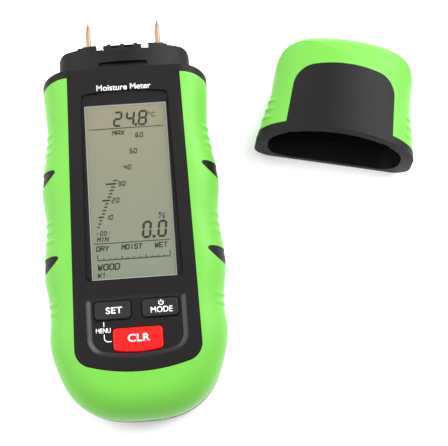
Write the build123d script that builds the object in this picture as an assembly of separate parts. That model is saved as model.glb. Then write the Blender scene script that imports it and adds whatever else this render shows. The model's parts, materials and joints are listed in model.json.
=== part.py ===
"""Pin-type moisture meter with its protective cap lying beside it.

Stations along the meter (y) are measured from its bottom end while it is drawn. On export every
piece is moved so that the origin is on the flat back, midway between the bottom end and the head.
x runs across the meter, +Y points to the electrode pins and +Z out of the display. Millimetres.
"""
import os
from build123d import *

os.makedirs("parts", exist_ok=True)

# ---------------------------------------------------------------- driving dimensions
BODY_THICK = 25.5
PARTING_Z = 12.6
FRONT_ROUND = 10.0
BACK_ROUND = 7.0
GRIP_THICK = 1.5
CASE_WALL = 1.7
SEAM = 0.15

# Half plan outline of the body: (half width, station), from past the shoulder to the bottom end.
BODY_CURVE = [
    (28.9, 126.0),
    (28.9, 112.0),
    (28.2, 98.0),
    (30.7, 80.5),
    (29.5, 67.0),
    (31.0, 51.0),
    (29.3, 37.0),
    (29.9, 28.0),
    (27.6, 17.5),
    (22.9, 8.3),
    (13.8, 1.8),
    (0.0, 0.0),
]

# The cap butts against a bowed shoulder: (distance past its station, height), back to front.
SHOULDER_Y = 117.2
SHOULDER_BOW = [(-1.0, -1.0), (0.0, 12.6), (4.4, 26.5)]
SHOULDER_BAND = 2.6

# Head that carries the pins and slides into the cap.
HEAD_HALF = 23.5
HEAD_BACK_Z = 2.6
HEAD_FRONT_Z = 22.9
HEAD_EDGE_ROUND = 7.0
HEAD_TOP_Y = 130.9
HEAD_CORNER = 3.0
HEAD_WALL = 2.2
HEAD_ROOT_Y = 106.0
PEDESTAL_TOP_Y = 131.4
PEDESTAL_HALF = 3.4
PEDESTAL_Z = (4.5, 24.0)
NOTCH_X = (6.85, 9.2)
NOTCH_FLOOR_Y = 129.5
LATCH_SLOT = (17.4, 1.7)
LATCH_SLOT_Y = 123.85
LATCH_SLOT_DEPTH = 1.5

# Electrode pins and their sockets.
PIN_X = 12.6
PIN_RADIUS = 0.95
PIN_SHANK_RADIUS = 1.25
PIN_COLLAR_RADIUS = 2.5
PIN_STATIONS = (126.0, 132.4, 134.5, 141.4, 144.7)
SOCKET_RADIUS = 2.4
SOCKET_FLANGE_RADIUS = 3.3
SOCKET_STATIONS = (117.5, 123.0, 128.4, 132.4)

# Grille block between the pins, with the air sensor behind it.
GRILLE_HALF = 6.75
GRILLE_Y = (128.9, 131.1)
GRILLE_Z = (4.0, 22.1)
GRILLE_RIB_PITCH = 4.7
GRILLE_RIB = (1.3, 0.35)

# Dark front panel.
PANEL_TOP_HALF = 19.5
PANEL_LOW_HALF = 20.9
PANEL_LOW_Y = 19.4
PANEL_BOTTOM_Y = 15.4
PANEL_CORNER = 6.0

# Teardrop gaps in the sides of the grip, filled by raised islands of the case.
SLASH_STATIONS = (83.4, 53.2)
SLASH_SINK = 0.25
SLASH_GAP = 0.2

# Display.
WINDOW_Y = (45.9, 111.6)
WINDOW_ARCH_Y = 113.1
WINDOW_HALF = (16.3, 15.1)
WINDOW_CORNER = 1.6
WINDOW_RECESS = 1.1
WINDOW_THICK = 0.7
VIEW_HALF = 14.2
VIEW_Y = (46.4, 108.1)
DISPLAY_GLASS = (28.6, 63.6, 1.1)
DISPLAY_CENTRE_Y = 77.25
DISPLAY_HOLDER = (30.0, 65.4)
DISPLAY_POCKET_Z = 23.9
DISPLAY_GLASS_Z = 22.7

# Keypad.
KEYPAD_Y = (19.7, 41.3)
KEYPAD_HALF = 16.7
KEYPAD_CORNER = 6.5
KEYPAD_TOP_CORNER = 1.5
KEYPAD_RECESS = 1.0
KEYPAD_POCKET_STEP = 1.0
KEY_GAP = 0.25
KEY_TOP_Z = 25.3
KEY_FLANGE_Z = (23.0, 23.4)
KEY_FLANGE_LIP = 0.7
SMALL_KEY = (12.0, 6.1)
KEY_CORNER = 1.3
SMALL_KEY_X = 7.9
SMALL_KEY_Y = 35.9
CLEAR_KEY = (16.4, 7.2)
CLEAR_KEY_SAG = 0.9
CLEAR_KEY_Y = 26.2
KEY_WEB_Z = 23.5

# Main circuit board.
BOARD_Z = 20.6
BOARD_THICK = 1.2
BOARD_HALF = 20.2
BOARD_END_HALF = 18.4
BOARD_Y = (14.5, 32.5, 101.0, 111.0)
BOARD_SCREW_X = 18.6
BOARD_SCREW_STATIONS = (56.0, 97.0)

# Battery and its door in the back.
BATTERY = (26.5, 46.4, 17.5)
BATTERY_START_Y = 9.2
BATTERY_BACK_Z = 1.95
TERMINAL_RADIUS = 2.9
TERMINAL_TALL = 2.0
TERMINAL_X = 6.35
BAY_HALF = 14.1
BAY_WALL = 1.2
BAY_Y = (7.8, 60.4)
BAY_ROOF = (19.6, 20.4)
DOOR_THICK = 1.7
DOOR_HALF = 16.0
DOOR_END_Y = 62.0
DOOR_CURL_Z = 6.0
DOOR_GAP = 0.2
DOOR_TONGUE = (1.2, 0.9)
DOOR_TONGUE_START = 14.0

# Fasteners.
CASE_SCREW_PLACES = [(-21.6, 27.0), (21.6, 27.0), (-21.6, 106.2), (21.6, 106.2)]
BOSS_RADIUS = 2.6
BACK_BOSS_RADIUS = 3.8
SCREW_RADIUS = 1.25
SCREW_HEAD = (2.4, 1.6)
SCREW_SEAT_Z = 3.0
SCREW_TIP_Z = 18.0

# Cap: half plan outline (half width, distance from the mouth), and its place beside the meter.
# The crown is a run of half ellipses, each with its half width and distance from the mouth.
CAP_CURVE = [
    (28.9, -8.0),
    (28.3, 0.0),
    (26.5, 9.5),
    (25.0, 18.5),
    (24.9, 26.0),
    (23.1, 32.7),
    (17.9, 37.5),
    (9.2, 39.8),
    (0.0, 40.4),
]
CAP_CROWN = [(29.2, -8.0), (28.4, 0.0), (26.6, 9.5), (25.2, 19.0), (25.2, 27.0), (25.6, 44.0)]
CAP_EDGE_ROUND = 8.5
CAP_BACK_ROUND = 6.5
CAP_HEAD_GAP = 0.35
CAP_MOUTH_DEPTH = 15.5
CAP_DEEP_HALF = 19.5
CAP_DEEP_Z = (5.0, 20.8)
CAP_DEPTH = 34.0
CAP_PANEL_CORNER = 8.0
CAP_PANEL_HALF = (19.4, 17.5)
CAP_PANEL_Y = (25.5, 28.2)
CAP_PLACE = (72.9, 89.45)
CAP_TURN = -12.4
CAP_RIB = (15.0, 0.8, 0.5)

LEAST_CORNER = 0.3
ORIGIN_Y = PEDESTAL_TOP_Y / 2
BEYOND = 60.0


# ---------------------------------------------------------------- helpers
def export(node, shape):
    """Write one node, moved so that the origin is on the flat back."""
    placed = Pos(0, -ORIGIN_Y, 0) * shape
    export_step(placed, f"parts/{node}.step")


def block(x_range, y_range, z_range):
    """Box between two limits along each axis."""
    spans = [high - low for low, high in (x_range, y_range, z_range)]
    centres = [(high + low) / 2 for low, high in (x_range, y_range, z_range)]
    return Pos(*centres) * Box(*spans)


def along_y(radius, start, end):
    """Round bar along y, on the y axis of its own frame."""
    return Pos(0, (start + end) / 2, 0) * Rot(90, 0, 0) * Cylinder(radius, end - start)


def upright(radius, low, high):
    """Round bar along z."""
    return Pos(0, 0, (low + high) / 2) * Cylinder(radius, high - low)


def both_sides(shape):
    """A shape and its mirror image across the meter's middle."""
    return shape + mirror(shape, about=Plane.YZ)


def outline_face(points, way, inset=0.0):
    """Face inside a smooth symmetrical outline, moved inwards by the inset.

    The points run from the open end to the closed end on the right side. The way is 1 where
    they run towards the pins and -1 where they run towards the bottom end.
    """
    whole = points + [(-x, y) for x, y in reversed(points[:-1])]
    curve = Spline(*whole)
    if inset:
        moved = []
        for point in whole:
            along = curve.tangent_at(curve.param_at_point(Vector(*point)))
            moved.append(Vector(*point) + Vector(-along.Y, along.X) * (inset * way))
        curve = Spline(*moved)
    return make_face([curve, Line(curve @ 1, curve @ 0)])


def round_outline(solid, height, radius):
    """Round the curved edges of the outline that lie at one height."""
    edges = solid.edges().filter_by(GeomType.BSPLINE)
    return fillet([edge for edge in edges if abs(edge.center().Z - height) < 0.01], radius)


def corner_radius(radius, grow):
    """Corner radius of a grown or shrunk outline."""
    return max(radius + grow, LEAST_CORNER)


def body_envelope(inset=0.0):
    """Rounded outer shape of the body, or the same shape moved inwards, past the shoulder."""
    face = outline_face(BODY_CURVE, -1, inset)
    solid = Pos(0, 0, inset) * extrude(face, BODY_THICK - 2 * inset)
    solid = round_outline(solid, BODY_THICK - inset, FRONT_ROUND - inset)
    return round_outline(solid, inset, BACK_ROUND - inset)


def past_shoulder(shift=0.0):
    """Everything on the pin side of the bowed shoulder, moved along y by the shift."""
    back, middle, front = SHOULDER_BOW
    bow = ThreePointArc(back, middle, front)
    rest = Polyline(front, (2 * BEYOND, front[1]), (2 * BEYOND, back[1]), back)
    side = Plane.YZ * make_face([bow, *rest.edges()])
    return Pos(0, SHOULDER_Y + shift, 0) * extrude(side, BEYOND, both=True)


def head_bar(inset, start, end):
    """Bar with the head's section: half an ellipse in front, a flat back with round edges."""
    half = HEAD_HALF - inset
    front = Ellipse(half, HEAD_FRONT_Z - PARTING_Z - inset)
    back = RectangleRounded(2 * half, 2 * (PARTING_Z - HEAD_BACK_Z - inset), HEAD_EDGE_ROUND - inset)
    above = Pos(0, BEYOND / 2) * Rectangle(2 * BEYOND, BEYOND)
    below = Pos(0, -BEYOND / 2) * Rectangle(2 * BEYOND, BEYOND)
    section = Plane.XZ * ((front & above) + (back & below))
    return Pos(0, start, PARTING_Z) * extrude(section, end - start, dir=(0, 1, 0))


def head_envelope(inset=0.0, root=HEAD_ROOT_Y):
    """Rounded block of the head, or the same shape moved inwards."""
    half = HEAD_HALF - inset
    end = HEAD_TOP_Y - inset
    plan = Pos(0, (root + end) / 2) * Rectangle(2 * half, end - root)
    corners = plan.vertices().group_by(Axis.Y)[-1]
    plan = fillet(corners, corner_radius(HEAD_CORNER, -inset))
    return head_bar(inset, root, end) & extrude(plan, BODY_THICK)


def panel_face(grow=0.0):
    """Outline of the dark front panel, which runs on past the shoulder."""
    low = PANEL_LOW_HALF + grow
    top = PANEL_TOP_HALF + grow
    corner = (low, PANEL_LOW_Y - grow)
    side = Line((top, SHOULDER_Y), corner)
    end = Line((top, SHOULDER_Y), (top, SHOULDER_Y + BEYOND))
    bottom = ThreePointArc(corner, (0, PANEL_BOTTOM_Y - grow), (-low, PANEL_LOW_Y - grow))
    close = Line((top, SHOULDER_Y + BEYOND), (-top, SHOULDER_Y + BEYOND))
    others = [mirror(side, about=Plane.YZ), mirror(end, about=Plane.YZ)]
    face = make_face([side, end, bottom, close, *others])
    low_corners = [v for v in face.vertices() if v.Y < PANEL_LOW_Y + 1]
    return fillet(low_corners, PANEL_CORNER + grow)


def window_face(grow=0.0):
    """Outline of the display window: slightly wider at its foot, arched at its top."""
    foot, top = (half + grow for half in WINDOW_HALF)
    low_y, high_y = WINDOW_Y[0] - grow, WINDOW_Y[1] + grow
    arch = ThreePointArc((top, high_y), (0, WINDOW_ARCH_Y + grow), (-top, high_y))
    lines = Polyline((-top, high_y), (-foot, low_y), (foot, low_y), (top, high_y))
    face = make_face([arch, *lines.edges()])
    return fillet(face.vertices(), WINDOW_CORNER + grow)


def keypad_face(grow=0.0):
    """Outline of the keypad recess: square shoulders at its top, a bowl at its foot."""
    half = KEYPAD_HALF + grow
    low, high = KEYPAD_Y[0] - grow, KEYPAD_Y[1] + grow
    corner_y = low + 2.2
    foot = ThreePointArc((-half, corner_y), (0, low), (half, corner_y))
    head = ThreePointArc((half, high - 0.5), (0, high), (-half, high - 0.5))
    sides = [Line((half, corner_y), (half, high - 0.5)), Line((-half, high - 0.5), (-half, corner_y))]
    face = make_face([foot, head, *sides])
    low_corners = [v for v in face.vertices() if v.Y < high - 2]
    face = fillet(low_corners, KEYPAD_CORNER + grow)
    return fillet([v for v in face.vertices() if v.Y > high - 2], corner_radius(KEYPAD_TOP_CORNER, grow))


def small_key_face(grow=0.0):
    """Outline of the SET and MODE keys."""
    wide, tall = SMALL_KEY
    return RectangleRounded(wide + 2 * grow, tall + 2 * grow, corner_radius(KEY_CORNER, grow))


def clear_key_face(grow=0.0):
    """Outline of the CLR key, with a foot that bows outwards."""
    half = CLEAR_KEY[0] / 2 + grow
    low, high = -CLEAR_KEY[1] / 2 - grow, CLEAR_KEY[1] / 2 + grow
    foot = ThreePointArc((-half, low), (0, low - CLEAR_KEY_SAG), (half, low))
    rest = Polyline((half, low), (half, high), (-half, high), (-half, low))
    face = make_face([foot, *rest.edges()])
    return fillet(face.vertices(), corner_radius(KEY_CORNER, grow))


KEYS = {
    "set_key": (small_key_face, -SMALL_KEY_X, SMALL_KEY_Y),
    "mode_key": (small_key_face, SMALL_KEY_X, SMALL_KEY_Y),
    "clear_key": (clear_key_face, 0.0, CLEAR_KEY_Y),
}


def side_slash(middle_y, grow):
    """Slanted teardrop gap in the grip, open at the body's side."""
    high = ThreePointArc((34.0, 0.4), (29.2, 2.6), (24.5, 2.2))
    low = ThreePointArc((24.5, 2.2), (27.6, -1.0), (34.0, -4.8))
    drop = make_face([high, low, Line((34.0, -4.8), (34.0, 0.4))])
    drop = fillet(drop.vertices().sort_by(Axis.X)[0], 0.8)
    if grow:
        drop = offset(drop, amount=grow)
    return extrude(Pos(0, middle_y) * drop, BODY_THICK)


def side_slashes(grow=0.0):
    """The two gaps on each side of the grip."""
    right = Part()
    for middle_y in SLASH_STATIONS:
        right += side_slash(middle_y, grow)
    return both_sides(right)


def case_boss(place, radius, low, high):
    """Round post at a case screw."""
    return Pos(place[0], place[1], 0) * upright(radius, low, high)


def display_block(size, low, high):
    """Rectangular block centred on the display."""
    wide, tall = size
    return Pos(0, DISPLAY_CENTRE_Y, (low + high) / 2) * Box(wide, tall, high - low)


# ---------------------------------------------------------------- shared shapes
OUTER = body_envelope()
CORE = body_envelope(GRIP_THICK)
HOLLOW = body_envelope(GRIP_THICK + CASE_WALL) - past_shoulder(-HEAD_WALL)
HEAD = head_envelope() & past_shoulder(-6.0)
HEAD_HOLLOW = head_envelope(HEAD_WALL, HEAD_ROOT_Y - 2)
FRONT_SIDE = block((-BEYOND, BEYOND), (-BEYOND, 3 * BEYOND), (PARTING_Z, BEYOND))
BACK_SIDE = block((-BEYOND, BEYOND), (-BEYOND, 3 * BEYOND), (-BEYOND, PARTING_Z))


def shoulder_body(envelope):
    """An envelope cut off at the shoulder."""
    return envelope - past_shoulder()


def head_details():
    """What stands on the head's end: the pedestals around the pins."""
    x_range = (PIN_X - PEDESTAL_HALF, PIN_X + PEDESTAL_HALF)
    pedestals = both_sides(block(x_range, (HEAD_TOP_Y - 1, PEDESTAL_TOP_Y), PEDESTAL_Z))
    return pedestals & head_bar(0.0, HEAD_ROOT_Y, PEDESTAL_TOP_Y)


def head_cuts():
    """Notches beside the grille, the grille's seat, the latch slots and the socket holes."""
    notch = both_sides(block(NOTCH_X, (NOTCH_FLOOR_Y, BEYOND * 3), (-1, BODY_THICK + 1)))
    seat = block((-NOTCH_X[0], NOTCH_X[0]), (GRILLE_Y[0], BEYOND * 3), (-1, BODY_THICK + 1))
    throat = block((-5.8, 5.8), (HEAD_TOP_Y - 4, BEYOND * 3), (7.0, 20.0))
    slot = extrude(Pos(0, LATCH_SLOT_Y) * SlotOverall(*LATCH_SLOT), LATCH_SLOT_DEPTH + 1)
    front_slot = Pos(0, 0, HEAD_FRONT_Z - LATCH_SLOT_DEPTH) * slot
    back_slot = Pos(0, 0, HEAD_BACK_Z - 1) * slot
    hole = both_sides(Pos(PIN_X, 0, PARTING_Z) * along_y(SOCKET_RADIUS + 0.03, 120, 140))
    return notch + seat + throat + front_slot + back_slot + hole


def socket_saddles():
    """Ribs across the head that hold the sockets, to be cut in two at the parting."""
    x_range = (PIN_X - 4.6, PIN_X + 4.6)
    rib = block(x_range, (119.4, 121.0), (HEAD_BACK_Z + 1, HEAD_FRONT_Z - 1))
    rib += block(x_range, (124.4, 126.0), (HEAD_BACK_Z + 1, HEAD_FRONT_Z - 1))
    rib -= Pos(PIN_X, 0, PARTING_Z) * along_y(SOCKET_RADIUS + 0.03, 110, 140)
    rib -= Pos(PIN_X, 0, PARTING_Z) * along_y(SOCKET_FLANGE_RADIUS + 0.03, 122.9, 128.5)
    return both_sides(rib)


def board_standoffs():
    """Short pads under the panel that the board is screwed to."""
    pads = Part()
    for x in (-BOARD_SCREW_X, BOARD_SCREW_X):
        for y in BOARD_SCREW_STATIONS:
            pads += Pos(x, y, 0) * upright(2.2, BOARD_Z + BOARD_THICK, BODY_THICK - 2)
    return pads


def front_case():
    """Charcoal front half: panel, side walls under the grip, and the front of the head."""
    panel = OUTER & extrude(panel_face(), BODY_THICK)
    band = OUTER & past_shoulder(-SHOULDER_BAND)
    islands = body_envelope(SLASH_SINK) & side_slashes(-SLASH_GAP)
    shell = shoulder_body(CORE + panel + band + islands) + HEAD + head_details()
    shell -= HOLLOW + HEAD_HOLLOW
    shell += socket_saddles() & head_envelope(1.0)
    for place in CASE_SCREW_PLACES:
        shell += case_boss(place, BOSS_RADIUS, PARTING_Z, BODY_THICK - 2.6) & CORE
    shell += board_standoffs()
    shell &= FRONT_SIDE
    shell -= head_cuts()
    for place in CASE_SCREW_PLACES:
        shell -= Pos(place[0], place[1], 0) * upright(SCREW_RADIUS + 0.02, 0, SCREW_TIP_Z + 1)
    for x in (-BOARD_SCREW_X, BOARD_SCREW_X):
        for y in BOARD_SCREW_STATIONS:
            shell -= Pos(x, y, 0) * upright(0.92, 10, 24.4)
    shell -= display_block((DISPLAY_HOLDER[0] + 0.4, DISPLAY_HOLDER[1] + 0.4), 15, DISPLAY_POCKET_Z)
    shell -= block((-VIEW_HALF, VIEW_HALF), VIEW_Y, (15, BODY_THICK))
    shell -= Pos(0, 0, BODY_THICK - WINDOW_RECESS) * extrude(window_face(), 5)
    shell -= Pos(0, 0, BODY_THICK - KEYPAD_RECESS) * extrude(keypad_face(), 5)
    shell -= extrude(keypad_face(-KEYPAD_POCKET_STEP), KEY_WEB_Z)
    for outline, x, y in KEYS.values():
        shell -= Pos(x, y, 0) * extrude(outline(KEY_GAP), BODY_THICK)
    return shell


def front_grip():
    """Green soft grip moulded around the front case's sides and bottom end."""
    grip = (OUTER & FRONT_SIDE) - CORE - extrude(panel_face(SEAM), BODY_THICK)
    grip -= past_shoulder(-SHOULDER_BAND - SEAM)
    return grip - side_slashes()


def door_shape(gap, tongue_start):
    """Battery door: a slice of the back shell with a tongue along each side."""
    half = DOOR_HALF + gap
    end = DOOR_END_Y + gap
    inner = body_envelope(DOOR_THICK + gap)
    plate = (OUTER - inner) & block((-half, half), (-5, end), (-1, DOOR_CURL_Z + gap))
    reach, thick = DOOR_TONGUE
    tongue_z = (DOOR_THICK - thick - gap, DOOR_THICK + gap)
    tongue = block((-half - reach, half + reach), (tongue_start, end), tongue_z)
    return plate + tongue


def battery_bay():
    """Walls and roof of the battery compartment."""
    half = BAY_HALF + BAY_WALL
    outer = block((-half, half), (BAY_Y[0] - BAY_WALL, BAY_Y[1] + BAY_WALL), (DOOR_THICK, BAY_ROOF[1]))
    return outer - block((-BAY_HALF, BAY_HALF), BAY_Y, (-1, BAY_ROOF[0]))


def rear_case():
    """Charcoal rear half, with the battery bay and the posts for the case screws."""
    hollow = body_envelope(2.2) - past_shoulder(-HEAD_WALL)
    shell = shoulder_body(OUTER) + HEAD + head_details()
    shell -= hollow + HEAD_HOLLOW
    shell += socket_saddles() & head_envelope(1.0)
    for place in CASE_SCREW_PLACES:
        shell += case_boss(place, BACK_BOSS_RADIUS, 1.0, PARTING_Z) & CORE
    shell &= BACK_SIDE
    shell += battery_bay() & ((CORE & BACK_SIDE) + body_envelope(GRIP_THICK + CASE_WALL + SEAM))
    shell -= block((-BAY_HALF, BAY_HALF), BAY_Y, (-1, BAY_ROOF[0]))
    shell -= block((-6, 6), (BAY_Y[1] - 1, BAY_Y[1] + 3), (12.0, 16.0))
    shell -= head_cuts()
    shell -= door_shape(DOOR_GAP, -5.0)
    for place in CASE_SCREW_PLACES:
        shell -= Pos(place[0], place[1], 0) * upright(SCREW_RADIUS + 0.15, -1, PARTING_Z + 1)
        shell -= Pos(place[0], place[1], 0) * upright(SCREW_HEAD[0] + 0.3, -1, SCREW_SEAT_Z)
    return shell


def battery_door():
    """Sliding battery door with grip ribs pressed into its outside."""
    door = door_shape(0.0, DOOR_TONGUE_START)
    for step in range(6):
        y = 44.0 + 2.2 * step
        door -= block((-7.0, 7.0), (y, y + 1.0), (-1, 0.5))
    return door


# ---------------------------------------------------------------- head pieces
def pin_socket():
    """Brass socket with a flange, clamped between the case halves."""
    tail, flange, flange_end, mouth = SOCKET_STATIONS
    socket = along_y(SOCKET_RADIUS, flange, mouth) + along_y(SOCKET_FLANGE_RADIUS, flange, flange_end)
    socket += along_y(1.7, tail, flange)
    return socket - along_y(PIN_SHANK_RADIUS + 0.02, PIN_STATIONS[0] - 0.5, mouth + 1)


def electrode_pin():
    """Steel needle with a six-sided collar and a threaded shank."""
    shank, collar, shaft, taper, tip = PIN_STATIONS
    pin = along_y(PIN_SHANK_RADIUS, shank, collar)
    hexagon = extrude(RegularPolygon(PIN_COLLAR_RADIUS, 6, major_radius=False), shaft - collar)
    pin += Pos(0, shaft, 0) * Rot(90, 0, 0) * hexagon
    pin += along_y(PIN_RADIUS, shaft, taper)
    cone = Cone(PIN_RADIUS, 0.08, tip - taper)
    return pin + Pos(0, (tip + taper) / 2, 0) * Rot(-90, 0, 0) * cone


def sensor_grille():
    """Block between the pins: three upright ribs with slots between them."""
    low, high = GRILLE_Y
    body = block((-GRILLE_HALF, GRILLE_HALF), GRILLE_Y, GRILLE_Z)
    rib_wide, rib_proud = GRILLE_RIB
    for step in (-1, 0, 1):
        x = step * GRILLE_RIB_PITCH
        x_range = (x - rib_wide / 2, x + rib_wide / 2)
        body += block(x_range, (low, high + rib_proud), (GRILLE_Z[0], GRILLE_Z[1] + rib_proud))
    for x in (-GRILLE_RIB_PITCH / 2, GRILLE_RIB_PITCH / 2):
        body -= block((x - 1.3, x + 1.3), (low - 1, high + 1), (8.0, 19.5))
        body -= block((x - 1.3, x + 1.3), (high - 0.95, high - 0.4), (GRILLE_Z[1] - 0.8, GRILLE_Z[1] + 1))
    return body


def sensor_board():
    """Small upright board behind the grille."""
    return block((-6.5, 6.5), (121.5, 122.5), (6.5, 19.5))


def air_sensor():
    """Temperature and humidity sensor on the small board."""
    return block((-2.5, 2.5), (122.5, 124.3), (10.0, 16.0))


def wire(points, radius, bend):
    """Insulated wire: straight runs joined by tangent arcs."""
    route = FilletPolyline(*points, radius=bend)
    start = Plane(origin=route @ 0, z_dir=route % 0)
    return sweep(start * Circle(radius), path=route)


def electrode_leads():
    """One lead from each socket to the top edge of the main board."""
    lead_z = PARTING_Z
    points = [
        (PIN_X, SOCKET_STATIONS[0], lead_z),
        (PIN_X, 112.5, lead_z),
        (PIN_X, 107.0, lead_z + 2.5),
        (PIN_X, 107.0, BOARD_Z),
    ]
    return both_sides(wire(points, 0.6, 1.5))


def sensor_leads():
    """Three thin leads from the sensor board to the main board."""
    leads = Part()
    for x in (-1.8, 0.0, 1.8):
        points = [(x, 121.5, 15.0), (x, 113.0, 15.0), (x, 106.0, 16.5), (x, 106.0, BOARD_Z)]
        leads += wire(points, 0.45, 1.5)
    return leads


# ---------------------------------------------------------------- display and keypad
def display_window():
    """Clear window, let into the panel."""
    low = BODY_THICK - WINDOW_RECESS
    return Pos(0, 0, low) * extrude(window_face(-SEAM), WINDOW_THICK)


def display_glass():
    """Liquid crystal glass."""
    wide, tall, thick = DISPLAY_GLASS
    return display_block((wide, tall), DISPLAY_GLASS_Z, DISPLAY_GLASS_Z + thick)


def display_holder():
    """Frame that keeps the glass in place over the board."""
    low = BOARD_Z + BOARD_THICK
    ring = display_block(DISPLAY_HOLDER, low, DISPLAY_POCKET_Z - 0.05)
    return ring - display_block((DISPLAY_GLASS[0] + 0.2, DISPLAY_GLASS[1] + 0.2), low - 1, BODY_THICK)


def contact_strips():
    """Conductive rubber strips that join the glass to the board, one at each end."""
    low = BOARD_Z + BOARD_THICK
    strips = Part()
    for side in (-1, 1):
        y = DISPLAY_CENTRE_Y + side * (DISPLAY_GLASS[1] / 2 - 1.4)
        strips += block((-13.0, 13.0), (y - 1.0, y + 1.0), (low, DISPLAY_GLASS_Z))
    return strips


def key_cap(outline):
    """Keycap with a softly rounded top and a retaining flange below the panel."""
    stem = Pos(0, 0, KEY_FLANGE_Z[0]) * extrude(outline(), KEY_TOP_Z - KEY_FLANGE_Z[0])
    stem = fillet(stem.edges().group_by(Axis.Z)[-1], 0.5)
    flange_high = KEY_FLANGE_Z[1] - KEY_FLANGE_Z[0]
    flange = Pos(0, 0, KEY_FLANGE_Z[0]) * extrude(outline(KEY_FLANGE_LIP), flange_high)
    return stem + flange


def keypad_mat():
    """Silicone mat on the board, with a low dome under each key."""
    low = BOARD_Z + BOARD_THICK
    mat = Pos(0, 0, low) * extrude(keypad_face(-2.2), 0.3)
    for outline, x, y in KEYS.values():
        mat += Pos(x, y, low) * extrude(outline(-1.8), 0.5)
    return mat


# ---------------------------------------------------------------- board
def main_board():
    """Main circuit board, narrower beside the posts at both of its ends."""
    low, widen, narrow, high = BOARD_Y
    thickness = (BOARD_Z, BOARD_Z + BOARD_THICK)
    board = block((-BOARD_END_HALF, BOARD_END_HALF), (low, high), thickness)
    board += block((-BOARD_HALF, BOARD_HALF), (widen, narrow), thickness)
    for x in (-BOARD_SCREW_X, BOARD_SCREW_X):
        for y in BOARD_SCREW_STATIONS:
            board -= Pos(x, y, 0) * upright(1.1, BOARD_Z - 1, BOARD_Z + 2)
    return board


def under_board(x, y, wide, tall, thick):
    """Rectangular part soldered to the underside of the board."""
    return Pos(x, y, BOARD_Z - thick / 2) * Box(wide, tall, thick)


def processor():
    """Processor package."""
    return under_board(0.0, 82.0, 12.0, 12.0, 1.5)


def measuring_chips():
    """Two amplifier packages for the electrode signal."""
    return under_board(-9.0, 97.5, 5.0, 4.0, 1.4) + under_board(9.0, 97.5, 5.0, 4.0, 1.4)


def board_crystal():
    """Crystal can beside the processor."""
    can = Pos(13.0, 84.0, BOARD_Z - 1.6) * Rot(90, 0, 0) * SlotOverall(8.0, 3.2)
    return extrude(can, 9.0, dir=(0, -1, 0))


def board_capacitors():
    """Two round electrolytic capacitors that lie clear of the battery bay."""
    return Pos(-14.0, 76.0, 0) * upright(3.0, BOARD_Z - 6.5, BOARD_Z) + (
        Pos(-14.0, 84.0, 0) * upright(2.5, BOARD_Z - 5.5, BOARD_Z)
    )


def small_board_parts():
    """Rows of small resistors and capacitors."""
    parts = Part()
    for row in range(3):
        for column in range(5):
            parts += under_board(-4.0 + 2.4 * column, 68.0 + 2.4 * row, 1.6, 0.8, 0.5)
    return parts


def board_screws():
    """Screws that hold the board to the front case."""
    screws = Part()
    for x in (-BOARD_SCREW_X, BOARD_SCREW_X):
        for y in BOARD_SCREW_STATIONS:
            screw = upright(0.9, BOARD_Z - 0.5, 24.2) + upright(1.9, BOARD_Z - 1.3, BOARD_Z)
            screw -= block((-0.25, 0.25), (-1.4, 1.4), (BOARD_Z - 2, BOARD_Z - 0.7))
            screw -= block((-1.4, 1.4), (-0.25, 0.25), (BOARD_Z - 2, BOARD_Z - 0.7))
            screws += Pos(x, y, 0) * screw
    return screws


# ---------------------------------------------------------------- power
def battery():
    """Nine-volt block battery with its two snap terminals."""
    wide, long, thick = BATTERY
    middle_z = BATTERY_BACK_Z + thick / 2
    section = Plane.XZ * RectangleRounded(wide, thick, 2.0)
    cell = Pos(0, BATTERY_START_Y, middle_z) * extrude(section, long, dir=(0, 1, 0))
    end = BATTERY_START_Y + long
    cell += Pos(-TERMINAL_X, 0, middle_z) * along_y(TERMINAL_RADIUS, end, end + TERMINAL_TALL)
    return cell + Pos(TERMINAL_X, 0, middle_z) * along_y(TERMINAL_RADIUS - 0.6, end, end + TERMINAL_TALL)


def battery_snap():
    """Snap connector over the battery's terminals."""
    end = BATTERY_START_Y + BATTERY[1]
    middle_z = BATTERY_BACK_Z + BATTERY[2] / 2
    pad = Plane.XZ * RectangleRounded(25.0, 12.0, 4.0)
    snap = Pos(0, end + 0.1, middle_z) * extrude(pad, 3.2, dir=(0, 1, 0))
    for x, radius in ((-TERMINAL_X, TERMINAL_RADIUS), (TERMINAL_X, TERMINAL_RADIUS - 0.6)):
        snap -= Pos(x, 0, middle_z) * along_y(radius + 0.02, end - 1, end + TERMINAL_TALL + 0.02)
    return snap


def battery_leads():
    """Two leads from the snap, through the bay's end wall, up to the board."""
    start = BATTERY_START_Y + BATTERY[1] + 3.3
    leads = Part()
    for x in (-2.5, 2.5):
        points = [(x, start, 14.0), (x, 66.5, 14.0), (x, 66.5, BOARD_Z)]
        leads += wire(points, 0.7, 2.0)
    return leads


def case_screws():
    """Self-tapping screws through the rear case into the front case's posts."""
    screws = Part()
    head_radius, head_thick = SCREW_HEAD
    low = SCREW_SEAT_Z - head_thick
    for x, y in CASE_SCREW_PLACES:
        screw = upright(SCREW_RADIUS, low + 0.5, SCREW_TIP_Z) + upright(head_radius, low, SCREW_SEAT_Z)
        screw -= block((-0.35, 0.35), (-1.5, 1.5), (low - 1, low + 0.9))
        screw -= block((-1.5, 1.5), (-0.35, 0.35), (low - 1, low + 0.9))
        screws += Pos(x, y, 0) * screw
    return screws


# ---------------------------------------------------------------- cap
def cap_section(half, tall):
    """Cross-section of the cap: half an ellipse in front of the parting plane, a slab behind it."""
    above = Pos(0, BEYOND / 2) * Rectangle(2 * BEYOND, BEYOND)
    slab = Pos(0, -PARTING_Z / 2) * Rectangle(2 * half, PARTING_Z)
    return Plane.XZ * ((Ellipse(half, tall) & above) + slab)


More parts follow.
